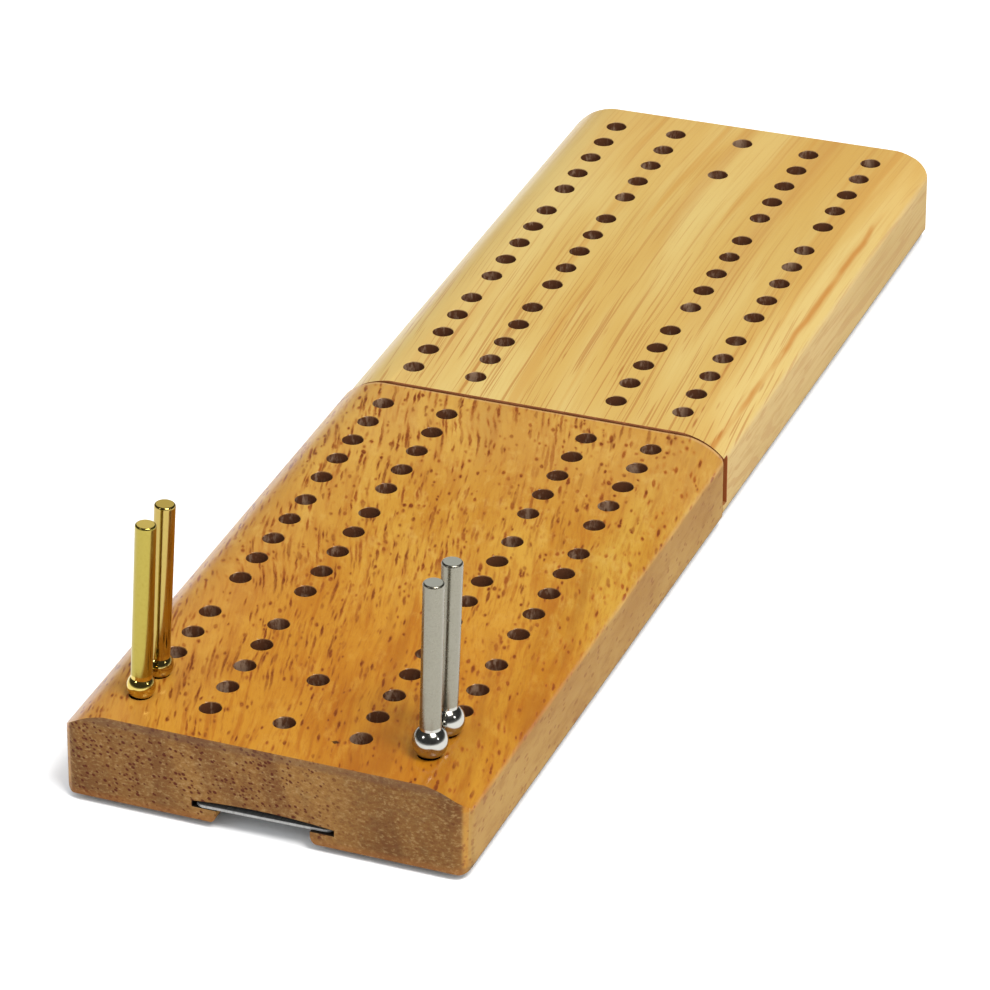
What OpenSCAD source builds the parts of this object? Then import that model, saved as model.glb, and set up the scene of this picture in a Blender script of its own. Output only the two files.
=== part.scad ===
// Folding travel cribbage board: two wooden halves hinged under the seam, a sliding
// metal cover over the peg store in each half, and four metal pegs.
// +X runs across the board, +Y along it from the near end to the far end, +Z is up.
// The origin is the middle of the open board, level with the lowest point of the hinges.

/* [Board] */
// Width of the near half
near_w = 62.2; // [60:0.2:64]
// Width of the far half
far_w = 61.6; // [60:0.2:64]
// Thickness of the wood
board_t = 13.5; // [13:0.5:16]
// Length of the near half
near_len = 109.4; // [108:0.2:116]
// Length of the far half
far_len = 106.2; // [105:0.2:112]
// Gap between the halves at the seam
seam_gap = 0.6; // [0.4:0.1:1]
// Angle by which each end is out of square, its right side the longer
end_skew = 1.4; // [0:0.1:2]
// Radius of the broad round-over along the long top edges
top_round = 10; // [8:0.1:11]
// Depth below the top at which the round-over meets the side
round_depth = 3.3; // [2.5:0.1:4]
// Rounding along the long bottom edges
bottom_round = 1.5; // [0.5:0.1:2.5]
// Rounding of the upright edges at the far end
far_corner = 2.8; // [1:0.1:3]
// Rounding of the upright edges at the near end
near_corner = 2.8; // [1:0.1:3]

/* [Peg holes] */
// Distance between neighbouring holes in a group of five
pitch = 6.35; // [6:0.05:6.4]
// Distance from the last hole of a group to the first hole of the next
group_step = 8.9; // [8.5:0.1:9]
// Distance from the seam face to the first row of holes
seam_margin = 6.1; // [5:0.1:7]
// Distance of the outer columns from the centre line
outer_col = 21.9; // [21:0.1:22.5]
// Distance of the inner columns from the centre line
inner_col = 11.5; // [11.2:0.1:13]
// Radius of a peg hole
hole_r = 1.65; // [1.6:0.05:1.8]
// Depth of a peg hole down to its drill point
hole_d = 7.6; // [6:0.1:8]

/* [Peg store] */
// Width of the undercut slot that the cover slides in
slot_w = 21.8; // [21:0.1:22.5]
// Height of the slot at its sides
slot_h = 1; // [0.8:0.1:1.2]
// How far the slot's ceiling arches above its sides
slot_arch = 0.6; // [0.3:0.1:0.9]
// Thickness of the lips that hold the cover
lip_t = 2.1; // [1.8:0.1:2.4]
// Width of the opening between the lips
lip_gap = 14.4; // [13:0.1:15]
// Distance from the seam face to the closed end of the slot
slot_stop = 9; // [8:0.5:12]
// Width of the peg store above the slot
store_w = 14.4; // [12:0.1:16]
// Length of the peg store
store_len = 58; // [45:1:60]
// Height of the peg store's ceiling above the underside
store_top = 9; // [8.5:0.1:9.5]
// Thickness of the sheet-metal cover
cover_t = 0.4; // [0.3:0.05:0.5]

/* [Hinges] */
// Radius of the hinge knuckles
knuckle_r = 0.8; // [0.8:0.05:0.9]
// Radius of the hinge pins
pin_r = 0.4; // [0.35:0.01:0.42]
// Width of a hinge along the seam
hinge_w = 14; // [12:0.5:14]
// Length of one leaf from the hinge axis
leaf_len = 7.3; // [7:0.1:9]
// Thickness of a leaf
leaf_t = 0.7; // [0.6:0.05:0.8]
// Distance of each hinge's middle from the centre line
hinge_x = 19.5; // [19:0.5:20]

/* [Pegs] */
// Radius of a peg's shank
peg_r = 1.55; // [1.3:0.05:1.6]
// Height of a peg above the playing surface
peg_h = 27.6; // [20:0.1:32]
// Length of the tip in the hole
tip_len = 5.2; // [4:0.1:6]
// Radius of the tip
tip_r = 1.2; // [1.1:0.05:1.25]
// Radius of the ball on a silver peg
ball_r = 2.6; // [2.3:0.05:2.7]
// Radius of the ball on a gold peg
bead_r = 2.1; // [2:0.05:2.2]

/* [Hidden] */

over = 1; // how far a cutter runs past the face that it cuts
honey_wood = [0.84, 0.62, 0.3];
pale_wood = [0.88, 0.73, 0.43];
gold = [0.85, 0.68, 0.27];
silver = [0.74, 0.72, 0.68];
steel = [0.8, 0.81, 0.8];

rows = 15;
group = 5;
underside = knuckle_r + 0.15;
surface = underside + board_t;
axis_z = knuckle_r;
near_reach = near_len + overhang(near_w, near_corner);
total_len = near_reach + seam_gap + far_len + overhang(far_w, far_corner);
near_face = near_reach - total_len / 2;
far_face = near_face + seam_gap;
seam_mid = near_face + seam_gap / 2;

arris_round = 1.5; // softens the corner where the round-over meets the side
end_ease = 0.35; // rounds the top and bottom edges of each end
seam_ease = 0.35; // rounds the top edges along the seam
near_seam_corner = 1; // rounding of the upright edges at the seam
far_seam_corner = 0.4;
groove_depth = 1.3; // groove across the far half's seam face
groove_bottom = 2.2;
groove_top = board_t - round_depth;
game_rows = [12, 14]; // rows that also have a game-count hole on the centre line
columns = [-outer_col, -inner_col, inner_col, outer_col];
grid_x = -0.1; // the holes, slots and covers sit this much left of the middle
// The holes are a little off their grid, each group of five in each column in its own way:
// how far to the right and how much farther from the seam, from the seam out
near_right = [[-0.2, -0.2, -0.6, -0.6], [0.2, 0.2, 0.2, 0.2], [-0.1, 0.2, 0.2, 0.3]];
near_out = [[0.4, 0.3, 0.1, 0], [-1.1, -0.7, 0.1, 0.1], [0.7, 0.7, 1, 1.7]];
far_right = [[-0.2, -0.4, -0.4, 0], [0.1, -0.2, 0, 0.1], [0.1, 0, 0.1, 0.3]];
far_out = [[-0.2, 0, 0.2, 0.4], [-0.8, -0.3, -0.1, 0.1], [-1.2, -0.6, -0.2, 0.3]];
stray_hole = [3, 10]; // column and row of the near hole that sits nearer the seam
stray = 1.2;
game_out = 0.8; // the near half's game-count holes sit this much farther from the seam
mouth_cut = 0.08; // countersink at the mouth of each hole
drill_point = 0.9;
lip_round = 1.4;

play = 0.05; // clearance of a hinge pin in its bore
knuckle_gap = 0.2;
leaf_clear = 0.3; // room between a knuckle and what it turns past
screw_r = 0.6;
screw_head_r = 1.3;
screw_len = 3.4;
screw_x = 4.2;
screw_y = 4.3;
drive_slot = [0.35, 0.35]; // width and depth of a screw's drive slot
cover_lift = 0.1; // the cover runs this much above the lips
cover_side_gap = 0.3;
cover_inset = 0.3;
cover_corner = 1.5;

lean_heading = 20; // the pegs lean towards this direction, in degrees from +X
bead_seat = 0.28; // gap between a peg's bead and the rim of its hole
lean_depth = 1.5; // the pegs lean about a point this far down their holes

// How far a half's skewed end runs past its length on the centre line
function overhang(width, corner) =
    (width / 2 - corner) * tan(end_skew) - corner * (1 / cos(end_skew) - 1);

// Distance of row k from the seam face
function row_u(k) = seam_margin + k * pitch + floor(k / group) * (group_step - pitch);

// Centre of the hole in column c and row k, as [x, distance from the seam face]
function hole(c, k, right, out) =
    [grid_x + columns[c] + right[floor(k / group)][c], row_u(k) + out[floor(k / group)][c]];
function near_hole(c, k) =
    hole(c, k, near_right, near_out) - ([c, k] == stray_hole ? [0, stray] : [0, 0]);
function far_hole(c, k) = hole(c, k, far_right, far_out);

// ---- wooden halves, drawn with u = 0 at the seam face and +u towards the end ----

// Outline of the wood seen from its end: a broad round-over that meets each side at a
// soft arris, and rounded bottom corners
module half_outline(width) {
    side = width / 2;
    flat = side - sqrt(2 * top_round * round_depth - round_depth * round_depth);
    arc_z = board_t - top_round;
    arris_x = side - arris_round;
    rise = sqrt(pow(top_round - arris_round, 2) - pow(arris_x - flat, 2));
    arris_z = arc_z + rise;
    reach = 1.2; // carries the wedge past the arc
    translate([-side, bottom_round])
        square([width, arris_z - bottom_round]);
    translate([-side + bottom_round, 0])
        square([width - 2 * bottom_round, board_t / 2]);
    translate([-flat, board_t / 2])
        square([2 * flat, board_t / 2]);
    for (s = [-1, 1]) {
        translate([s * (side - bottom_round), bottom_round])
            circle(r = bottom_round, $fn = 48);
        translate([s * arris_x, arris_z])
            circle(r = arris_round, $fn = 48);
        intersection() {
            translate([s * flat, arc_z])
                circle(r = top_round, $fn = 180);
            polygon([
                [s * flat, arc_z], [s * flat, board_t + over],
                [s * (flat + reach * (arris_x - flat)), board_t + over],
                [s * (flat + reach * (arris_x - flat)), arc_z + reach * rise]
            ]);
        }
    }
}

// Outline of the wood seen from above, its end out of square and its corners rounded
module plan_outline(length, width, end_corner, seam_corner) {
    side = width / 2;
    end_x = side - end_corner;
    function end_u(x) = length + x * tan(end_skew) - end_corner / cos(end_skew);
    tangent = end_corner * [-sin(end_skew), cos(end_skew)];
    polygon([
        [-side + seam_corner, 0], [side - seam_corner, 0], [side, seam_corner],
        [side, end_u(end_x)], [end_x, end_u(end_x)] + tangent,
        [-end_x, end_u(-end_x)] + tangent, [-side, end_u(-end_x)], [-side, seam_corner]
    ]);
    for (s = [-1, 1]) {
        translate([s * end_x, end_u(s * end_x)])
            circle(r = end_corner, $fn = 64);
        translate([s * (side - seam_corner), seam_corner])
            circle(r = seam_corner, $fn = 48);
    }
}

// Cuts a square edge that runs across at (0, 0) back to a round of radius r; the wood
// lies towards -Y and -Z. The round just crosses both faces, so it is tangent to neither
module edge_cut(r) {
    crossing = 0.01;
    difference() {
        translate([-near_w, -r, -r])
            cube([2 * near_w, r + over, r + over]);
        translate([-near_w - over, crossing - r, crossing - r])
            rotate([0, 90, 0])
                cylinder(r = r, h = 2 * (near_w + over), $fn = 48);
    }
}

// Stands a flat outline up across the board and runs it from u0 to u1
module along(u0, u1) {
    translate([0, u1, 0])
        rotate([90, 0, 0])
            linear_extrude(height = u1 - u0)
                children();
}

// Outline of the undercut slot: arched ceiling, square sides, round-nosed lips
module slot_outline() {
    arch_r = (slot_w * slot_w / 4 + slot_arch * slot_arch) / (2 * slot_arch);
    slot_side = lip_t + slot_h;
    union() {
        translate([-slot_w / 2, lip_t])
            square([slot_w, slot_h]);
        intersection() {
            translate([0, slot_side + slot_arch - arch_r])
                circle(r = arch_r, $fn = 180);
            translate([-slot_w / 2, lip_t])
                square([slot_w, slot_h + slot_arch + over]);
        }
        translate([-lip_gap / 2, -over])
            square([lip_gap, lip_t + 2 * over]);
        difference() {
            translate([-lip_gap / 2 - lip_round, -over])
                square([lip_gap + 2 * lip_round, lip_round + over]);
            for (s = [-1, 1])
                translate([s * (lip_gap / 2 + lip_round), lip_round])
                    circle(r = lip_round, $fn = 48);
        }
    }
}

// One blind hole with a drill point and a slightly broken mouth
module peg_hole(at) {
    translate([at[0], at[1], board_t - hole_d])
        cylinder(r = hole_r, h = hole_d + over, $fn = 32);
    translate([at[0], at[1], board_t - hole_d - drill_point])
        cylinder(r1 = 0.2, r2 = hole_r, h = drill_point, $fn = 32);
    translate([at[0], at[1], board_t - mouth_cut])
        cylinder(r1 = hole_r, r2 = hole_r + 2 * mouth_cut, h = 2 * mouth_cut, $fn = 32);
}

module near_holes() {
    for (k = [0 : rows - 1])
        for (c = [0 : 3])
            peg_hole(near_hole(c, k));
    for (k = game_rows)
        peg_hole([grid_x, row_u(k) + game_out]);
}

module far_holes() {
    for (k = [0 : rows - 1])
        for (c = [0 : 3])
            peg_hole(far_hole(c, k));
    for (k = game_rows)
        peg_hole([grid_x, row_u(k)]);
}

// Room for a hinge under the seam: leaf recess, knuckle relief and pilot holes
module hinge_recess(x) {
    leaf_end = leaf_len - seam_gap / 2;
    translate([x - hinge_w / 2 - 0.2, -over, -over])
        cube([hinge_w + 0.4, leaf_end + 0.2 + over, leaf_t + over]);
    translate([x - hinge_w / 2 - 0.3, -seam_gap / 2, axis_z - underside])
        rotate([0, 90, 0])
            cylinder(r = knuckle_r + leaf_clear, h = hinge_w + 0.6, $fn = 32);
    for (s = [-1, 1])
        translate([x + s * screw_x, screw_y - seam_gap / 2, -over])
            cylinder(r = screw_r + 0.02, h = screw_len + 0.2 + over, $fn = 24);
}

module half_board(length, width, end_corner, seam_corner) {
    store_u = slot_stop + 4;
    difference() {
        intersection() {
            along(-over, length + 2 * over)
                half_outline(width);
            translate([0, 0, -over])
                linear_extrude(height = board_t + 2 * over)
                    plan_outline(length, width, end_corner, seam_corner);
        }
        translate([0, length, board_t])
            rotate([0, 0, end_skew])
                edge_cut(end_ease);
        translate([0, length, 0])
            rotate([0, 0, end_skew])
                mirror([0, 0, 1])
                    edge_cut(end_ease);
        translate([0, 0, board_t])
            mirror([0, 1, 0])
                edge_cut(seam_ease);
        along(slot_stop, length + 2 * over)
            translate([grid_x, 0])
                slot_outline();
        translate([grid_x - store_w / 2, store_u, lip_t])
            cube([store_w, store_len, store_top - lip_t]);
        for (s = [-1, 1])
            hinge_recess(s * hinge_x);
    }
}

// Places what is drawn from the near half's seam face outwards
module on_near() {
    translate([0, near_face, underside])
        mirror([0, 1, 0])
            children();
}

module on_far() {
    translate([0, far_face, underside])
        children();
}

module near_half() {
    color(honey_wood)
        on_near()
            difference() {
                half_board(near_len, near_w, near_corner, near_seam_corner);
                near_holes();
            }
}

module far_half() {
    color(pale_wood)
        on_far()
            difference() {
                half_board(far_len, far_w, far_corner, far_seam_corner);
                far_holes();
                translate([-far_w, -over, groove_bottom])
                    cube([2 * far_w, over + groove_depth, groove_top - groove_bottom]);
            }
}

// ---- sliding covers ----

module slide_cover(length) {
    w = slot_w - 2 * cover_side_gap;
    u0 = slot_stop + cover_side_gap;
    u1 = length - cover_inset;
    translate([grid_x, 0, lip_t + cover_lift])
        linear_extrude(height = cover_t)
            union() {
                translate([-w / 2, u0])
                    square([w, u1 - u0 - cover_corner]);
                translate([-w / 2 + cover_corner, u0])
                    square([w - 2 * cover_corner, u1 - u0]);
                for (s = [-1, 1])
                    translate([s * (w / 2 - cover_corner), u1 - cover_corner])
                        circle(r = cover_corner, $fn = 32);
            }
}

module near_slide_cover() {
    color(steel)
        on_near()
            slide_cover(near_len);
}

module far_slide_cover() {
    color(steel)
        on_far()
            slide_cover(far_len);
}

// ---- hinges, drawn with their axis at the origin and the leaf running to +Y ----

// A cylinder along X from x0 to x1
module rod(r, x0, x1) {
    translate([x0, 0, 0])
        rotate([0, 90, 0])
            cylinder(r = r, h = x1 - x0, $fn = 32);
}

// The knuckles are thirds of the hinge: spans lists [from, to] of those on this leaf
module hinge_leaf(spans, others) {
    plate_z = underside - axis_z;
    sink = leaf_t - 0.1;
    difference() {
        union() {
            translate([-hinge_w / 2, 0, plate_z])
                cube([hinge_w, leaf_len, leaf_t]);
            for (span = spans)
                rod(knuckle_r, span[0], span[1]);
        }
        for (span = others)
            rod(knuckle_r + leaf_clear, span[0] - knuckle_gap, span[1] + knuckle_gap);
        rod(pin_r + play, -hinge_w, hinge_w);
        for (s = [-1, 1])
            translate([s * screw_x, screw_y, plate_z]) {
                translate([0, 0, -over])
                    cylinder(r = screw_r + 0.05, h = leaf_t + 2 * over, $fn = 24);
                cylinder(r1 = screw_head_r + 0.05, r2 = screw_r + 0.05, h = sink, $fn = 24);
            }
    }
}

third = hinge_w / 3;
outer_knuckles = [[-hinge_w / 2, -third / 2 - knuckle_gap / 2], [third / 2 + knuckle_gap / 2, hinge_w / 2]];
middle_knuckle = [[-third / 2 + knuckle_gap / 2, third / 2 - knuckle_gap / 2]];

module at_hinge(s) {
    translate([s * hinge_x, seam_mid, axis_z])
        children();
}

module near_leaf(s) {
    color(gold)
        at_hinge(s)
            mirror([0, 1, 0])
                hinge_leaf(outer_knuckles, middle_knuckle);
}

module far_leaf(s) {
    color(gold)
        at_hinge(s)
            hinge_leaf(middle_knuckle, outer_knuckles);
}

module left_hinge_near_leaf() { near_leaf(-1); }
module right_hinge_near_leaf() { near_leaf(1); }
module left_hinge_far_leaf() { far_leaf(-1); }
module right_hinge_far_leaf() { far_leaf(1); }

module hinge_pin(s) {
    color(steel)
        at_hinge(s)
            rod(pin_r, -hinge_w / 2, hinge_w / 2);
}

module left_hinge_pin() { hinge_pin(-1); }
module right_hinge_pin() { hinge_pin(1); }

// Countersunk screw with its head at z = 0 and its point up
module screw() {
    sink = leaf_t - 0.1;
    point = 1;
    difference() {
        union() {
            cylinder(r1 = screw_head_r, r2 = screw_r, h = sink, $fn = 24);
            cylinder(r = screw_r, h = screw_len - point, $fn = 24);
            translate([0, 0, screw_len - point])
                cylinder(r1 = screw_r, r2 = 0.15, h = point, $fn = 24);
        }
        translate([-screw_head_r - over, -drive_slot[0] / 2, -over])
            cube([2 * (screw_head_r + over), drive_slot[0], drive_slot[1] + over]);
    }
}

module hinge_screws(side) {
    for (h = [-1, 1])
        for (s = [-1, 1])
            translate([h * hinge_x + s * screw_x, seam_mid + side * screw_y, underside])
                rotate([0, 0, 35 * s + 20 * h])
                    screw();
}

module near_hinge_screws() {
    color(gold)
        hinge_screws(-1);
}

module far_hinge_screws() {
    color(gold)
        hinge_screws(1);
}

// ---- pegs, drawn with z = 0 at the playing surface ----

// Height of a ball's centre when it rests on the rim of a hole
function seat(r) = sqrt(r * r - (hole_r + mouth_cut) * (hole_r + mouth_cut)) + bead_seat;

module peg_body() {
    end_round = 0.4;
    rotate_extrude($fn = 48)
        union() {
            translate([0, -tip_len + end_round])
                square([tip_r, tip_len - end_round + 1]);
            translate([0, -tip_len])
                square([tip_r - end_round, end_round]);
            intersection() {
                translate([tip_r - end_round, -tip_len + end_round])
                    circle(r = end_round, $fn = 24);
                translate([0, -tip_len])
                    square([tip_r, end_round]);
            }
            translate([0, 0.5])
                square([peg_r, peg_h - end_round - 0.5]);
            translate([0, peg_h - end_round])
                square([peg_r - end_round, end_round]);
            intersection() {
                translate([peg_r - end_round, peg_h - end_round])
                    circle(r = end_round, $fn = 24);
                translate([0, peg_h - end_round])
                    square([peg_r, end_round]);
            }
        }
}

// A peg with a ball that rests just above the rim of its hole
module peg(r) {
    peg_body();
    translate([0, 0, seat(r)])
        sphere(r = r, $fn = 48);
}

module silver_peg() {
    color(silver)
        peg(ball_r);
}

module gold_peg() {
    color(gold)
        peg(bead_r);
}

// Stands a peg in a hole of the near half, leaning a little about a point in the hole
module stand_peg(c, k, lean) {
    at = near_hole(c, k);
    translate([at[0], near_face - at[1], surface - lean_depth])
        rotate([0, 0, lean_heading])
            rotate([0, lean, 0])
                translate([0, 0, lean_depth])
                    children();
}

module gold_peg_1() { stand_peg(0, 14, 2.7) gold_peg(); }
module gold_peg_2() { stand_peg(0, 13, 3.1) gold_peg(); }
module silver_peg_1() { stand_peg(3, 14, 1.3) silver_peg(); }
module silver_peg_2() { stand_peg(3, 13, 1.9) silver_peg(); }

near_half();
far_half();
near_slide_cover();
far_slide_cover();
left_hinge_near_leaf();
right_hinge_near_leaf();
left_hinge_far_leaf();
right_hinge_far_leaf();
left_hinge_pin();
right_hinge_pin();
near_hinge_screws();
far_hinge_screws();
gold_peg_1();
gold_peg_2();
silver_peg_1();
silver_peg_2();
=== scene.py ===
"""Looks for the folding cribbage board: lacquered wood, turned metal pegs, hinges and covers."""
import math

import bpy
import numpy as np
from mathutils import Matrix, Vector


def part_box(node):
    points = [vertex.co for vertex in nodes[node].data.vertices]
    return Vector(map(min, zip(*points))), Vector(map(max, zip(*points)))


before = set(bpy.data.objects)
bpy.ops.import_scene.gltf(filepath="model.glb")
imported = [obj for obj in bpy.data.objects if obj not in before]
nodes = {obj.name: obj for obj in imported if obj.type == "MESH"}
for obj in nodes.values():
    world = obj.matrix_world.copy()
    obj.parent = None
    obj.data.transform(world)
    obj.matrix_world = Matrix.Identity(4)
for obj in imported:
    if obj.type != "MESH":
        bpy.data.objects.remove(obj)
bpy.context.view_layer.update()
MM = 0.001

# ---------------------------------------------------------------- sizes read from the frame

near_low, near_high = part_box("near_half")
far_low, far_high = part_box("far_half")
UNDERSIDE = near_low.z
SURFACE = near_high.z
PITCH = 6.35 * MM  # hole spacing
LACQUER_DEPTH = 3.3 * MM  # the round-overs are lacquered down to here below the top
STUDIO_LIGHT = 1.6  # a white card lying on the board reflects this much

# in millimetres
HOLES_WITHIN = 24.3  # every hole lies nearer the centre line than this
END_MARGIN = 1.6  # and at least this far from both ends of its half
HOLE_FLOOR = 3.6  # and ends above this height over the underside
SLOT_MIDDLE = 2.9  # the cover slot's height over the underside
SLOT_HALF_WIDTH = 11.8
NICK = (8.7, -102.03)  # a small dark nick by the near end
# painted shade: the seam recess and a little of the side face past it are painted dark this deep from the
# seam
GROOVE_SHADE_DEPTH = 1.5  # the dark strip in the far half's seam face
PEG_TOP = SURFACE / MM + 27.6
GOLD_BALL_TOP = SURFACE / MM + 3.5
SILVER_BALL_TOP = SURFACE / MM + 4.75

# shader values the two woods share
WOOD_SPECULAR = 0.15
RAW_ROUGHNESS = 0.7
COAT_FLAT, COAT_ROUNDED = 0.42, 0.12
# painted shade: the near-black colour on the cover slot's inner walls
SLOT_SHADE_COLOUR = (44, 32, 24)

# flat metal is less than fully metallic, or it would only mirror the studio's dark ceiling
SHEET_METALLIC = 0.6
PEG_TOP_METALLIC = 0.45


# ---------------------------------------------------------------- a small shader-node helper

class Graph:
    """Builds one material's node tree. The methods that make a value return its output socket."""

    def __init__(self, name):
        self.material = bpy.data.materials.new(name)
        self.material.use_nodes = True
        self.tree = self.material.node_tree
        self.tree.nodes.clear()
        self.out = self.tree.nodes.new("ShaderNodeOutputMaterial")
        self.bsdf = self.tree.nodes.new("ShaderNodeBsdfPrincipled")
        self.tree.links.new(self.bsdf.outputs[0], self.out.inputs["Surface"])

    def node(self, kind, **settings):
        made = self.tree.nodes.new(kind)
        for key, value in settings.items():
            setattr(made, key, value)
        return made

    def put(self, socket, value):
        if isinstance(value, bpy.types.NodeSocket):
            self.tree.links.new(value, socket)
        else:
            socket.default_value = value

    def math(self, operation, a, b=0.0):
        made = self.node("ShaderNodeMath", operation=operation)
        for socket, value in zip(made.inputs, (a, b)):
            self.put(socket, value)
        return made.outputs[0]

    def add(self, a, b):
        return self.math("ADD", a, b)

    def sub(self, a, b):
        return self.math("SUBTRACT", a, b)

    def mul(self, a, b):
        return self.math("MULTIPLY", a, b)

    def step(self, value, low, high, out_low=0.0, out_high=1.0):
        """Smooth ramp from out_low to out_high as value goes from low to high."""
        made = self.node("ShaderNodeMapRange", interpolation_type="SMOOTHSTEP")
        for name, given in (("Value", value), ("From Min", low), ("From Max", high),
                            ("To Min", out_low), ("To Max", out_high)):
            self.put(made.inputs[name], given)
        return made.outputs[0]

    def mix(self, factor, a, b, blend="MIX"):
        made = self.node("ShaderNodeMix", data_type="RGBA", blend_type=blend)
        self.put(made.inputs["Factor"], factor)
        for name, value in (("A", a), ("B", b)):
            socket = next(s for s in made.inputs if s.name == name and s.type == "RGBA")
            self.put(socket, value if isinstance(value, bpy.types.NodeSocket) else (*value, 1.0))
        return next(s for s in made.outputs if s.type == "RGBA")

    def blend(self, factor, a, b):
        """Plain numbers: a where factor is 0, b where it is 1."""
        made = self.node("ShaderNodeMix", data_type="FLOAT")
        self.put(made.inputs["Factor"], factor)
        self.put(made.inputs["A"], a)
        self.put(made.inputs["B"], b)
        return made.outputs["Result"]

    def vector(self, x, y, z):
        made = self.node("ShaderNodeCombineXYZ")
        for socket, value in zip(made.inputs, (x, y, z)):
            self.put(socket, value)
        return made.outputs[0]

    def noise(self, vector, scale, detail, rough=0.5, distort=0.0):
        made = self.node("ShaderNodeTexNoise")
        self.put(made.inputs["Vector"], vector)
        made.inputs["Scale"].default_value = scale
        made.inputs["Detail"].default_value = detail
        made.inputs["Roughness"].default_value = rough
        made.inputs["Distortion"].default_value = distort
        return made.outputs["Fac"]

    def grain(self, at, stretch, detail, rough=0.5, distort=0.0):
        """Noise over three numbers, each multiplied by its own stretch."""
        scaled = self.vector(*(self.mul(value, factor) for value, factor in zip(at, stretch)))
        return self.noise(scaled, 1.0, detail, rough, distort)

    def wash(self, colour, where, strength, tint):
        """The colour, taken part of the way to the tint where the mask says."""
        return self.mix(self.mul(where, strength), colour, tint)

    def cells(self, vector):
        """Voronoi cells: (distance to the cell's point, two random numbers per cell)."""
        made = self.node("ShaderNodeTexVoronoi")
        self.put(made.inputs["Vector"], vector)
        made.inputs["Scale"].default_value = 1.0
        made.inputs["Randomness"].default_value = 1.0
        split = self.node("ShaderNodeSeparateColor")
        self.tree.links.new(made.outputs["Color"], split.inputs[0])
        return made.outputs["Distance"], split.outputs[0], split.outputs[1]

    def place(self):
        """Object coordinates in millimetres and the object-space normal, as separate numbers."""
        coords = self.node("ShaderNodeTexCoord")
        scaled = self.node("ShaderNodeVectorMath", operation="SCALE")
        self.tree.links.new(coords.outputs["Object"], scaled.inputs[0])
        scaled.inputs["Scale"].default_value = 1 / MM
        at = self.node("ShaderNodeSeparateXYZ")
        self.tree.links.new(scaled.outputs[0], at.inputs[0])
        facing = self.node("ShaderNodeSeparateXYZ")
        self.tree.links.new(coords.outputs["Normal"], facing.inputs[0])
        return at.outputs, facing.outputs

    def bump(self, height, strength, distance):
        made = self.node("ShaderNodeBump")
        made.inputs["Strength"].default_value = strength
        made.inputs["Distance"].default_value = distance
        self.put(made.inputs["Height"], height)
        self.put(self.bsdf.inputs["Normal"], made.outputs[0])

    def finish(self, **inputs):
        for name, value in inputs.items():
            self.put(self.bsdf.inputs[name.replace("_", " ")], value)
        return self.material


def srgb(red, green, blue):
    """Linear colour from 0-255 display values."""
    def linear(value):
        value /= 255
        return value / 12.92 if value <= 0.04045 else ((value + 0.055) / 1.055) ** 2.4
    return (linear(red), linear(green), linear(blue))


# ---------------------------------------------------------------- wood

def lit(red, green, blue):
    """Albedo that shows as this 0-255 display colour under the studio light."""
    return tuple(value / STUDIO_LIGHT for value in srgb(red, green, blue))


def zones(g, x, y, z, ny, nz, low, high, soft=0.0):
    """Where on a half a point is: (hole wall, end face, raw side, underside), each 0 to 1.

    soft widens the fade from lacquered to raw wood, in millimetres each way.
    """
    lo, hi = low / MM, high / MM
    depth_x = g.sub(HOLES_WITHIN, g.math("ABSOLUTE", x))
    depth_y = g.math("MINIMUM", g.sub(y, lo.y + END_MARGIN), g.sub(hi.y - END_MARGIN, y))
    depth_z = g.math("MINIMUM", g.sub(hi.z, z), g.sub(z, lo.z + HOLE_FLOOR))
    inside = g.math("MINIMUM", g.math("MINIMUM", depth_x, depth_y), depth_z)
    hole = g.step(inside, 0.03, 0.14)
    facing_end = g.math("ABSOLUTE", ny)
    end = g.step(g.add(facing_end, g.mul(g.math("ABSOLUTE", nz), 0.35)), 0.72, 0.88)
    end = g.mul(end, g.sub(1.0, hole))
    wander = g.mul(g.sub(g.noise(g.vector(g.mul(x, 0.1), g.mul(y, 0.14), 0.0), 1.0, 3.0), 0.5), 0.7)
    lacquer_edge = hi.z - LACQUER_DEPTH / MM
    raw_side = g.step(g.add(z, wander), lacquer_edge + 0.1 + soft, lacquer_edge - 0.45 - soft)
    raw_side = g.mul(raw_side, g.step(facing_end, 0.7, 0.35, 0.5, 1.0))
    under = g.step(nz, -0.3, -0.8)
    return hole, end, raw_side, under


def pores(g, across, along, depth, wide, long, share, seed, thick=1.0):
    """Elongated dark pores in a share of the cells: (1 in a pore, 1 in the stain round it).

    The cells are wide by long millimetres, seed shifts them, and thick scales the pores in them.
    """
    at = g.vector(g.add(g.mul(across, 1 / wide), seed), g.mul(along, 1 / long), g.mul(depth, 1 / wide))
    distance, pick, size = g.cells(at)
    beyond = g.sub(distance, g.mul(g.add(0.13, g.mul(size, 0.19)), thick))
    held = g.step(pick, share + 0.02, share - 0.02)
    return g.mul(g.step(beyond, 0.12, -0.08), held), g.mul(g.step(beyond, 0.32, 0.0), held)


def coat(g, x, raw_all):
    """Lacquer lies thinner on the right-hand round-over and nowhere on raw wood."""
    return g.mul(g.step(x, 24.0, 28.5, COAT_FLAT, COAT_ROUNDED), g.sub(1.0, raw_all))


def painted_foot_shade(g, z, colour):
    """Painted shade: a darker tone along the bottom edges, standing in for the contact shadow line at the
    board's foot.
    """
    foot = g.step(g.sub(z, UNDERSIDE / MM), 1.35, 0.8)
    return g.wash(colour, foot, 0.75, lit(104, 92, 78))


def painted_slot_shade(g, x, z, ny):
    """The cover's slot, painted dark inside as shade: 1 on its walls, 0 elsewhere."""
    middle = g.math("ABSOLUTE", g.sub(z, UNDERSIDE / MM + SLOT_MIDDLE))
    across = g.step(g.math("ABSOLUTE", x), SLOT_HALF_WIDTH + 0.1, SLOT_HALF_WIDTH - 0.1)
    inside = g.mul(g.step(middle, 1.0, 0.85), across)
    return g.mul(inside, g.step(g.math("ABSOLUTE", ny), 0.5, 0.4))


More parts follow.
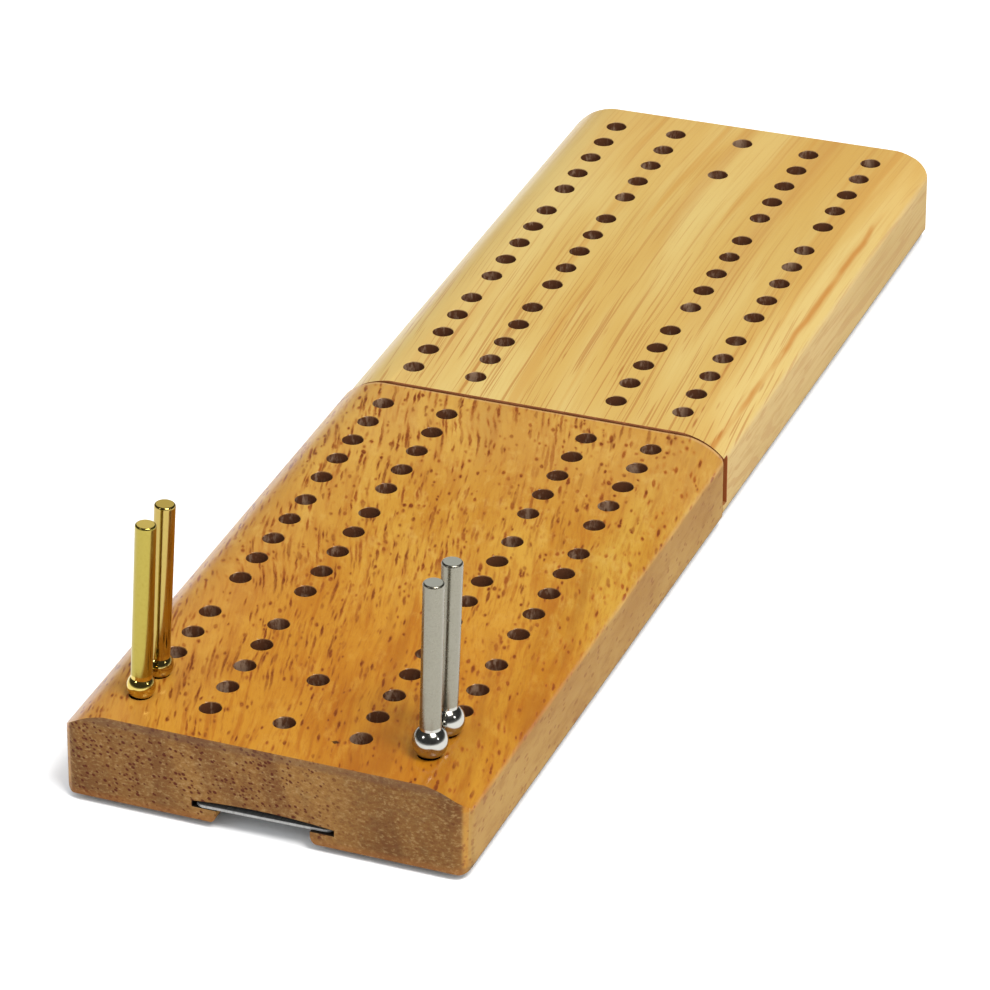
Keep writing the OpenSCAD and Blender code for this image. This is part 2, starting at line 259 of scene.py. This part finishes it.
def hole_wall(g, x, y, z, nx):
    """Colour of drilled end grain: dark brown, with torn greyish strands, more in some holes; the pale
    strands are painted only on walls facing +x, where the light from the right falls, so they are partly
    painted light.
    """
    torn = g.grain((x, y, z), (1.3, 0.9, 0.5), 3.0, 0.65)
    by_hole = g.noise(g.vector(g.mul(x, 0.17), g.mul(y, 0.17), 4.0), 1.0, 1.0)
    by_hole = g.add(by_hole, g.step(g.math("ABSOLUTE", x), 4.0, 3.0, 0.0, 0.12))
    patches = g.add(torn, g.mul(g.sub(by_hole, 0.5), 0.6))
    # painted light: the pale torn strands only on walls facing +x, the side the light falls on
    fibres_and_lit_side = g.mul(g.step(patches, 0.46, 0.72), g.step(nx, -0.3, 0.5))
    return g.mix(fibres_and_lit_side, lit(112, 68, 42), lit(180, 146, 118))


def honey_wood():
    g = Graph("honey_wood")
    (x, y, z), (nx, ny, nz) = g.place()
    hole, end, raw_side, under = zones(g, x, y, z, ny, nz, near_low, near_high)

    # the grain leans left of +Y, more so on the left, and wavers a little
    sway = g.mul(g.sub(g.grain((x, y, z), (0.05, 0.03, 0.05), 2.0), 0.5), 5.0)
    lean = g.sub(g.mul(y, 0.29), g.mul(g.mul(x, y), 0.0016))
    across = g.add(g.add(x, lean), sway)
    fine = g.mul(g.sub(g.noise(g.vector(x, g.mul(y, 0.4), z), 1.1, 3.0, 0.6), 0.5), 0.55)
    bent = g.add(across, fine)

    drift = g.grain((across, y, z), (0.09, 0.03, 0.1), 4.0, 0.55, 0.3)
    streak = g.grain((across, y, z), (0.75, 0.07, 0.7), 5.0, 0.62, 0.2)
    mottle = g.grain((across, y, z), (0.45, 0.22, 0.45), 4.0, 0.62)
    fibre = g.grain((bent, y, z), (3.2, 0.5, 3.0), 3.0, 0.65)
    colour = g.mix(g.step(drift, 0.36, 0.64), lit(211, 146, 41), lit(226, 170, 61))
    colour = g.wash(colour, g.step(streak, 0.46, 0.68), 0.6, lit(193, 114, 24))
    colour = g.wash(colour, g.step(mottle, 0.5, 0.7), 0.5, lit(234, 185, 86))
    colour = g.wash(colour, g.step(fibre, 0.5, 0.72), 0.35, lit(184, 110, 28))
    band = g.grain((across, y, z), (0.13, 0.016, 0.1), 2.0, 0.5, 0.6)
    colour = g.wash(colour, g.step(band, 0.56, 0.68), 0.5, lit(182, 114, 34))

    # the tone by place: deeper towards the near end and on the right, paler by the seam and on the left
    colour = g.mix(g.step(y, -40.0, -75.0), colour, (0.93, 0.765, 0.45), "MULTIPLY")
    colour = g.mix(g.step(x, 22.0, 27.0), colour, (0.88, 0.92, 0.95), "MULTIPLY")
    colour = g.wash(colour, g.step(y, -35.0, -5.0), 0.3, lit(228, 182, 100))
    colour = g.wash(colour, g.step(x, -8.0, -26.0), 0.25, lit(230, 186, 104))

    # pores: long dashes towards the left and the seam, short flecks elsewhere
    by_chance = g.sub(g.noise(g.vector(g.mul(x, 0.05), g.mul(y, 0.03), 0.0), 1.0, 1.0), 0.5)
    where = g.add(g.mul(by_chance, 1.4), g.sub(g.mul(x, 0.012), g.mul(y, 0.004)))
    long_share, short_share = g.step(where, 0.4, 0.1, 0.2, 1.0), g.step(where, -0.1, 0.2, 0.55, 1.0)
    fleck_all, stain = 0.0, 0.0
    for wide, long, share, seed, here in (
            (0.85, 12.0, 0.55, 0.0, long_share), (0.75, 5.5, 0.5, 11.9, long_share),
            (0.9, 3.6, 0.42, 7.3, short_share), (1.0, 1.9, 0.3, 3.1, 1.0)):
        body, round_it = pores(g, bent, y, z, wide, long, share, seed)
        fleck_all = g.math("MAXIMUM", fleck_all, g.mul(body, here))
        stain = g.math("MAXIMUM", stain, g.mul(round_it, here))
    strength = g.noise(g.vector(g.mul(across, 0.5), g.mul(y, 0.2), z), 1.0, 3.0, 0.6)
    fade = g.step(strength, 0.34, 0.6, 0.5, 1.0)
    pore_colour = g.mix(g.step(mottle, 0.4, 0.6), lit(132, 60, 14), lit(170, 92, 24))
    top = g.wash(colour, g.mul(stain, fade), 0.55, lit(194, 114, 28))
    top = g.mix(g.mul(fleck_all, fade), top, pore_colour)
    # painted highlight: a pale band along the near half's seam edge, for the light on its rounded arris
    top = g.wash(top, g.step(g.sub(near_high.y / MM, y), 0.75, 0.45), 0.35, lit(228, 182, 132))
    from_nick = g.add(g.math("ABSOLUTE", g.mul(g.sub(x, NICK[0]), 1.6)),
                      g.math("ABSOLUTE", g.mul(g.sub(y, NICK[1]), 2.2)))
    from_nick = g.add(from_nick, g.mul(g.sub(fibre, 0.5), 1.5))
    top = g.wash(top, g.step(from_nick, 1.3, 0.8), 0.85, lit(50, 30, 20))

    # raw wood on the sides and the underside
    raw = g.mix(g.step(drift, 0.35, 0.7), lit(179, 132, 66), lit(196, 154, 84))
    raw = g.wash(raw, g.step(streak, 0.45, 0.7), 0.5, lit(164, 113, 55))
    raw = g.wash(raw, fleck_all, 0.55, lit(152, 91, 48))
    # painted shade: darker raw wood along the bottom edges, for the contact shadow line
    raw = painted_foot_shade(g, z, raw)

    # end grain: slanting darker bands, pale speckle and small red-brown pores
    slant = g.add(x, g.mul(z, 0.3))
    ring = g.noise(g.vector(g.mul(slant, 0.12), 0.0, g.mul(z, 0.03)), 1.0, 3.0, 0.55, 0.3)
    grainy = g.grain((x, y, z), (1.5, 0.3, 2.4), 4.0, 0.7)
    cloud = g.grain((x, y, z), (0.5, 0.1, 0.6), 3.0, 0.6)
    end_colour = g.mix(g.step(ring, 0.38, 0.6), lit(132, 88, 46), lit(162, 116, 62))
    end_colour = g.wash(end_colour, g.step(cloud, 0.5, 0.7), 0.5, lit(154, 118, 72))
    middle = g.step(g.math("ABSOLUTE", g.add(x, 2.0)), 19.0, 10.0)
    left_or_right = g.mix(g.step(x, -5.0, 5.0), (0.8, 0.75, 0.68), (0.76, 0.71, 0.62))
    tone = g.mix(middle, left_or_right, (1.06, 1.06, 0.96))
    end_colour = g.mix(1.0, end_colour, tone, "MULTIPLY")
    end_colour = g.wash(end_colour, g.step(grainy, 0.5, 0.68), 0.55, lit(196, 158, 104))
    end_colour = g.wash(end_colour, g.step(grainy, 0.5, 0.34), 0.5, lit(118, 64, 34))
    dots, _ = pores(g, slant, z, g.mul(y, 0.1), 0.72, 0.62, 0.75, 1.7, thick=1.3)
    dots = g.mul(dots, g.step(g.add(x, g.mul(g.sub(cloud, 0.5), 30.0)), 14.0, 4.0, 0.3, 1.0))
    end_colour = g.wash(end_colour, dots, 0.92, lit(94, 33, 8))
    low_rim = g.step(z, UNDERSIDE / MM + 1.6, UNDERSIDE / MM + 0.4)
    end_colour = g.wash(end_colour, low_rim, 0.45, lit(172, 110, 56))
    top_rim = g.step(z, SURFACE / MM - 1.7, SURFACE / MM - 0.7)
    end_colour = g.wash(end_colour, top_rim, 0.45, lit(118, 84, 62))

    colour = g.mix(g.math("MAXIMUM", raw_side, under), top, raw)
    seam_wall = g.step(g.sub(near_high.y / MM, y), 1.2, 0.8)
    end_colour = g.mix(seam_wall, end_colour, (1.0, 0.62, 0.48), "MULTIPLY")
    colour = g.mix(end, colour, end_colour)
    colour = g.mix(hole, colour, hole_wall(g, x, y, z, nx))
    # painted shade: the cover slot's walls go near black
    colour = g.mix(painted_slot_shade(g, x, z, ny), colour, lit(*SLOT_SHADE_COLOUR))

    raw_all = g.math("MAXIMUM", g.math("MAXIMUM", raw_side, under), g.math("MAXIMUM", end, hole))
    height = g.sub(g.mul(streak, 0.2), g.mul(fleck_all, 0.5))
    height = g.add(height, g.mul(g.mul(grainy, raw_all), 0.6))
    g.bump(height, 0.3, 0.00012)
    return g.finish(Base_Color=colour, Specular_IOR_Level=WOOD_SPECULAR,
                    Roughness=g.blend(raw_all, 0.42, RAW_ROUGHNESS),
                    Coat_Weight=coat(g, x, raw_all), Coat_Roughness=0.14)


def pale_wood():
    g = Graph("pale_wood")
    (x, y, z), (nx, ny, nz) = g.place()
    hole, end, raw_side, under = zones(g, x, y, z, ny, nz, far_low, far_high, soft=0.5)
    # the grain bends a little: it leans left by the seam and runs straight at the far end
    sway = g.mul(g.sub(g.grain((x, y, z), (0.04, 0.02, 0.05), 1.5), 0.5), 2.0)
    across = g.add(g.add(x, g.sub(g.mul(y, 0.09), g.mul(g.mul(y, y), 0.0006))), sway)

    drift = g.grain((across, y, z), (0.11, 0.012, 0.1), 3.0, 0.5, 0.3)
    wide = g.grain((across, y, z), (0.34, 0.01, 0.3), 3.0, 0.55)
    fine = g.grain((across, y, z), (2.1, 0.05, 2.0), 4.0, 0.6)
    colour = g.mix(g.step(drift, 0.36, 0.64), lit(231, 189, 101), lit(240, 208, 126))
    colour = g.wash(colour, g.step(wide, 0.52, 0.66), 0.55, lit(222, 166, 78))
    colour = g.wash(colour, g.step(fine, 0.48, 0.7), 0.35, lit(221, 174, 92))
    colour = g.mix(g.step(y, 70.0, 100.0), colour, (1.0, 0.94, 0.86), "MULTIPLY")
    colour = g.wash(colour, g.step(x, -12.0, -24.0), 0.35, lit(240, 210, 136))
    right_band = g.mul(g.step(g.math("ABSOLUTE", g.sub(across, 16.5)), 3.2, 0.4), g.step(y, 20.0, 60.0))
    mid_band = g.mul(g.step(g.math("ABSOLUTE", g.sub(across, 2.5)), 2.2, 0.3), g.step(y, 45.0, 80.0))
    colour = g.wash(colour, g.math("MAXIMUM", right_band, mid_band), 0.4, lit(214, 154, 74))

    # thin straight orange-brown lines along the grain, strongest by the seam
    long_lines = g.grain((across, y, z), (2.0, 0.022, 0.5), 1.0, 0.5)
    apart = g.vector(g.add(g.mul(across, 2.9), 30.0), g.mul(y, 0.04), g.mul(z, 0.8))
    short_lines = g.noise(apart, 1.0, 1.0, 0.5)
    line = g.math("MAXIMUM", g.step(long_lines, 0.6, 0.66), g.step(short_lines, 0.61, 0.68))
    by_seam = g.step(g.add(y, g.mul(g.math("ABSOLUTE", x), 0.6)), 95.0, 20.0, 0.3, 1.0)
    colour = g.wash(colour, g.mul(line, by_seam), 0.55, lit(192, 120, 52))
    ticks, _ = pores(g, across, y, z, 1.0, 9.0, 0.3, 5.2, thick=0.6)
    colour = g.wash(colour, g.mul(ticks, g.step(y, 45.0, 5.0)), 0.7, lit(178, 96, 34))

    # one orange streak low on the right-hand round-over
    waver = g.mul(g.sub(g.noise(g.vector(0.0, g.mul(y, 0.05), 0.0), 1.0, 2.0), 0.5), 1.6)
    off = g.sub(x, g.add(28.9, waver))
    streak = g.mul(g.step(g.math("ABSOLUTE", off), 0.6, 0.1), g.step(y, 92.0, 78.0))
    patchy = g.step(g.noise(g.vector(g.mul(x, 0.4), g.mul(y, 0.09), 0.0), 1.0, 2.0), 0.3, 0.6, 0.35, 1.0)
    colour = g.wash(colour, g.mul(streak, patchy), 0.75, lit(210, 138, 54))

    raw = g.mix(g.step(drift, 0.35, 0.65), lit(211, 177, 111), lit(223, 190, 126))
    raw = g.wash(raw, g.step(fine, 0.45, 0.7), 0.5, lit(196, 151, 88))
    raw = g.wash(raw, line, 0.3, lit(192, 136, 79))
    # painted shade: darker raw wood along the bottom edges, for the contact shadow line
    raw = painted_foot_shade(g, z, raw)
    colour = g.mix(g.step(x, 23.0, 28.0), colour, (0.94, 0.93, 0.96), "MULTIPLY")
    grainy = g.grain((x, y, z), (1.5, 0.3, 2.4), 4.0, 0.7)
    from_pith_x, from_pith_z = g.add(x, 9.0), g.add(z, 38.0)
    radius = g.math("SQRT", g.add(g.mul(from_pith_x, from_pith_x), g.mul(from_pith_z, from_pith_z)))
    uneven = g.mul(g.noise(g.vector(g.mul(x, 0.1), 0.0, g.mul(z, 0.1)), 1.0, 2.0), 1.6)
    rings = g.math("FRACT", g.mul(g.add(radius, uneven), 0.62))
    end_colour = g.mix(g.step(rings, 0.15, 0.95), lit(174, 136, 88), lit(192, 155, 106))
    end_colour = g.wash(end_colour, g.step(grainy, 0.45, 0.7), 0.5, lit(146, 106, 64))
    seam_wall = g.step(g.sub(y, far_low.y / MM), 1.2, 0.8)
    end_colour = g.mix(seam_wall, end_colour, (0.74, 0.42, 0.32), "MULTIPLY")
    # painted shade: dark red-brown on the seam recess, reaching a little past it onto the side face
    groove_shade = g.mul(g.step(g.sub(y, far_low.y / MM), GROOVE_SHADE_DEPTH + 0.02, GROOVE_SHADE_DEPTH - 0.04),
                   g.mul(g.step(z, UNDERSIDE / MM + 2.1, UNDERSIDE / MM + 2.25),
                         g.step(z, SURFACE / MM - 3.2, SURFACE / MM - 3.35)))

    colour = g.mix(g.math("MAXIMUM", raw_side, under), colour, raw)
    colour = g.mix(end, colour, end_colour)
    colour = g.mix(hole, colour, hole_wall(g, x, y, z, nx))
    # painted shade: the cover slot's walls go near black
    colour = g.mix(painted_slot_shade(g, x, z, ny), colour, lit(*SLOT_SHADE_COLOUR))
    colour = g.mix(groove_shade, colour, lit(172, 92, 44))

    raw_all = g.math("MAXIMUM", g.math("MAXIMUM", raw_side, under), g.math("MAXIMUM", end, hole))
    height = g.add(g.mul(fine, 0.3), g.mul(g.mul(grainy, raw_all), 0.6))
    g.bump(height, 0.2, 0.0001)
    return g.finish(Base_Color=colour, Specular_IOR_Level=WOOD_SPECULAR,
                    Roughness=g.blend(raw_all, 0.44, RAW_ROUGHNESS),
                    Coat_Weight=coat(g, x, raw_all), Coat_Roughness=0.16)


# ---------------------------------------------------------------- metals

def turned_metal(name, base, dark, bead, painted_reflection_colour, shank_rough, bead_rough, bead_top):
    """Polished bead below bead_top, satin shank with fine turning marks above it; the flat top gets a
    brighter, half-diffuse colour as painted reflection, standing in for what the polished end mirrors.
    """
    g = Graph(name)
    (x, y, z), (_, _, nz) = g.place()
    shank = g.step(z, bead_top - 0.1, bead_top + 0.1)
    turning = g.grain((x, y, z), (0.3, 0.3, 6.0), 3.0, 0.6)
    grit = g.noise(g.vector(x, y, z), 3.5, 3.0, 0.7)
    worn = g.noise(g.vector(x, y, z), 0.35, 2.0, 0.5)
    colour = g.wash(base, g.step(grit, 0.45, 0.75), 0.45, dark)
    colour = g.mix(shank, bead, colour)
    # painted reflection: the flat top is brighter and less metallic, for the light the polished end
    # reflects
    painted_reflection_top = g.mul(g.step(nz, 0.85, 0.97), g.step(z, PEG_TOP - 0.8, PEG_TOP - 0.5))
    colour = g.mix(painted_reflection_top, colour, painted_reflection_colour)
    rough = g.blend(shank, bead_rough, g.add(shank_rough, g.mul(g.sub(worn, 0.5), 0.2)))
    g.bump(g.mul(g.add(g.mul(turning, 0.4), g.mul(grit, 0.4)), shank), 0.12, 0.00004)
    return g.finish(Base_Color=colour, Metallic=g.blend(painted_reflection_top, 1.0, PEG_TOP_METALLIC), Roughness=rough)


def sheet_metal(name, base, dark, rough, stretch):
    """Dull flat metal with fine lines along the axis whose stretch is smallest."""
    g = Graph(name)
    (x, y, z), _ = g.place()
    lines = g.grain((x, y, z), stretch, 4.0, 0.6)
    stain = g.noise(g.vector(x, y, z), 0.12, 3.0, 0.6)
    colour = g.mix(g.step(lines, 0.4, 0.7), base, dark)
    colour = g.wash(colour, g.step(stain, 0.5, 0.75), 0.4, dark)
    g.bump(lines, 0.15, 0.00003)
    return g.finish(Base_Color=colour, Metallic=SHEET_METALLIC,
                    Roughness=g.step(lines, 0.3, 0.7, rough - 0.06, rough + 0.1))


# ---------------------------------------------------------------- smooth shading on the CAD nodes

def shade(node, limit_deg=34.0):
    """Smooth normals inside each curved face; flat faces stay flat. The vertices aren't touched."""
    mesh = nodes[node].data
    count = len(mesh.polygons)
    normals = np.zeros(count * 3)
    mesh.polygons.foreach_get("normal", normals)
    normals = normals.reshape(-1, 3)
    area = np.zeros(count)
    mesh.polygons.foreach_get("area", area)
    corner_vertex = np.zeros(len(mesh.loops), int)
    mesh.loops.foreach_get("vertex_index", corner_vertex)
    sides = np.zeros(count, int)
    mesh.polygons.foreach_get("loop_total", sides)
    corner_face = np.repeat(np.arange(count), sides)
    points = np.zeros(len(mesh.vertices) * 3)
    mesh.vertices.foreach_get("co", points)
    rounded = np.round(points.reshape(-1, 3) * 1e7).astype(np.int64)
    _, spot = np.unique(rounded, axis=0, return_inverse=True)
    spot = spot.ravel()[corner_vertex]
    # a plane's many triangles weigh together, so a flat face wins over the first facet of a round
    _, plane = np.unique(np.round(normals * 2000).astype(int), axis=0, return_inverse=True)
    plane = plane.ravel()
    weight = np.bincount(plane, area)[plane] ** 2
    order = np.argsort(spot, kind="stable")
    starts = np.flatnonzero(np.r_[True, np.diff(spot[order]) > 0])
    ends = np.r_[starts[1:], len(order)]
    limit = math.cos(math.radians(limit_deg))
    made = np.zeros((len(mesh.loops), 3))
    for start, end in zip(starts, ends):
        corners = order[start:end]
        faces = corner_face[corners]
        around = normals[faces]
        near = (around @ around.T > limit) * weight[faces]
        total = near @ around
        made[corners] = total / np.maximum(np.linalg.norm(total, axis=1), 1e-12)[:, None]
    mesh.polygons.foreach_set("use_smooth", np.ones(count, bool))
    mesh.normals_split_custom_set(made.tolist())
    mesh.update()


def dress(node, material):
    mesh = nodes[node].data
    mesh.materials.clear()
    mesh.materials.append(material)
    shade(node)


gold_satin = turned_metal(
    "gold_satin", base=(0.37, 0.295, 0.062), dark=(0.26, 0.19, 0.03), bead=(0.6, 0.46, 0.12),
    painted_reflection_colour=(0.62, 0.46, 0.11), shank_rough=0.21, bead_rough=0.1, bead_top=GOLD_BALL_TOP)
gold_bright = turned_metal(
    "gold_bright", base=(0.42, 0.31, 0.09), dark=(0.34, 0.23, 0.05), bead=(0.5, 0.38, 0.12),
    painted_reflection_colour=(0.5, 0.36, 0.08), shank_rough=0.16, bead_rough=0.08, bead_top=GOLD_BALL_TOP)
nickel = turned_metal(
    "nickel", base=(0.255, 0.24, 0.19), dark=(0.18, 0.165, 0.125), bead=(0.45, 0.44, 0.4),
    painted_reflection_colour=(0.38, 0.38, 0.32), shank_rough=0.27, bead_rough=0.15, bead_top=SILVER_BALL_TOP)
cover_steel = sheet_metal(
    "cover_steel", base=(0.34, 0.34, 0.33), dark=(0.24, 0.24, 0.23), rough=0.34, stretch=(5.0, 0.15, 1.0))
hinge_brass = sheet_metal(
    "hinge_brass", base=(0.78, 0.57, 0.24), dark=(0.6, 0.42, 0.17), rough=0.32, stretch=(0.3, 4.0, 4.0))
screw_brass = sheet_metal(
    "screw_brass", base=(0.74, 0.54, 0.24), dark=(0.5, 0.35, 0.15), rough=0.3, stretch=(3.0, 3.0, 3.0))
pin_steel = sheet_metal(
    "pin_steel", base=(0.55, 0.55, 0.53), dark=(0.4, 0.4, 0.39), rough=0.3, stretch=(4.0, 0.3, 0.3))

dress("near_half", honey_wood())
dress("far_half", pale_wood())
for end in ("near", "far"):
    dress(f"{end}_slide_cover", cover_steel)
    dress(f"{end}_hinge_screws", screw_brass)
    for side in ("left", "right"):
        dress(f"{side}_hinge_{end}_leaf", hinge_brass)
for side in ("left", "right"):
    dress(f"{side}_hinge_pin", pin_steel)
dress("gold_peg_1", gold_satin)
dress("gold_peg_2", gold_bright)
for number in (1, 2):
    dress(f"silver_peg_{number}", nickel)


# ---------------------------------------------------------------- floor, light and camera

def floor():
    mesh = bpy.data.meshes.new("floor")
    half = 6.0
    corners = [(-half, -half, 0), (half, -half, 0), (half, half, 0), (-half, half, 0)]
    mesh.from_pydata(corners, [], [(0, 1, 2, 3)])
    made = bpy.data.objects.new("floor", mesh)
    bpy.context.scene.collection.objects.link(made)
    g = Graph("floor_paper")
    (x, y, z), _ = g.place()
    tone = g.noise(g.vector(x, y, z), 0.004, 2.0)
    colour = g.mix(tone, (0.93, 0.935, 0.94), (0.95, 0.95, 0.95))
    mesh.materials.append(g.finish(Base_Color=colour, Roughness=0.9, Specular_IOR_Level=0.1))


def softbox(name, at, size, power, colour=(1, 1, 1)):
    """A square light aimed at the middle of the board's foot."""
    data = bpy.data.lights.new(name, "AREA")
    data.shape = "RECTANGLE"
    data.size = data.size_y = size
    data.energy = power
    data.color = colour
    made = bpy.data.objects.new(name, data)
    made.location = at
    made.rotation_euler = (-Vector(at)).to_track_quat("-Z", "Y").to_euler()
    bpy.context.scene.collection.objects.link(made)


def studio_world():
    """Even white light; glossy rays see a pale horizon under a dark ceiling instead."""
    world = bpy.data.worlds.new("studio")
    bpy.context.scene.world = world
    world.use_nodes = True
    tree = world.node_tree
    tree.nodes.clear()
    coords = tree.nodes.new("ShaderNodeTexCoord")
    split = tree.nodes.new("ShaderNodeSeparateXYZ")
    ramp = tree.nodes.new("ShaderNodeValToRGB")
    path = tree.nodes.new("ShaderNodeLightPath")
    mix = tree.nodes.new("ShaderNodeMix")
    mix.data_type = "RGBA"
    shade_node = tree.nodes.new("ShaderNodeBackground")
    out = tree.nodes.new("ShaderNodeOutputWorld")
    link = tree.links.new
    link(coords.outputs["Generated"], split.inputs[0])
    link(split.outputs["Z"], ramp.inputs[0])
    # greys at the horizon, just above it and from there up
    stops = ramp.color_ramp.elements
    stops[1].position = 0.16
    stops.new(0.06)
    for stop, grey in zip(stops, (0.6, 0.4, 0.05)):
        stop.color = (grey, grey, grey, 1)
    link(path.outputs["Is Glossy Ray"], mix.inputs["Factor"])
    a, b = [s for s in mix.inputs if s.type == "RGBA"]
    a.default_value = (0.93, 0.96, 1.0, 1)
    link(ramp.outputs[0], b)
    link(next(s for s in mix.outputs if s.type == "RGBA"), shade_node.inputs["Color"])
    shade_node.inputs["Strength"].default_value = 1.0
    link(shade_node.outputs[0], out.inputs["Surface"])


def camera():
    """Long lens from the near right, placed and turned as fitted to the photo's grid of holes."""
    sensor_mm, focal_pixels, photo_pixels = 36.0, 6413.8, 990
    azimuth, elevation, roll = math.radians(-20.47), math.radians(28.66), math.radians(0.14)
    first_row = near_low.y + 9.99 * MM
    # the lens is this many hole spacings from the middle of the near half's first row
    place = Vector((0.17 * MM + 47.0 * PITCH, first_row - 112.86 * PITCH, SURFACE + 72.47 * PITCH))
    forward = Vector((math.sin(azimuth) * math.cos(elevation),
                      math.cos(azimuth) * math.cos(elevation), -math.sin(elevation)))
    right = forward.cross(Vector((0, 0, 1))).normalized()
    up = right.cross(forward)
    right_rolled = right * math.cos(roll) + up * math.sin(roll)
    up_rolled = up * math.cos(roll) - right * math.sin(roll)
    data = bpy.data.cameras.new("camera")
    data.sensor_width = sensor_mm
    data.lens = sensor_mm * focal_pixels / photo_pixels
    data.clip_end = 50
    made = bpy.data.objects.new("camera", data)
    turn = Matrix((right_rolled, up_rolled, -forward)).transposed().to_4x4()
    made.matrix_world = Matrix.Translation(place) @ turn
    bpy.context.scene.collection.objects.link(made)
    bpy.context.scene.camera = made


floor()
studio_world()
softbox("key", (0.48, -0.35, 1.0), 0.45, 11.0, (1.0, 0.98, 0.95))
softbox("right_spark", (1.0, -0.25, 0.55), 0.12, 0.6)
softbox("left_spark", (-0.5, -0.75, 0.7), 0.12, 0.6)
camera()
bpy.context.scene.view_settings.view_transform = "Standard"
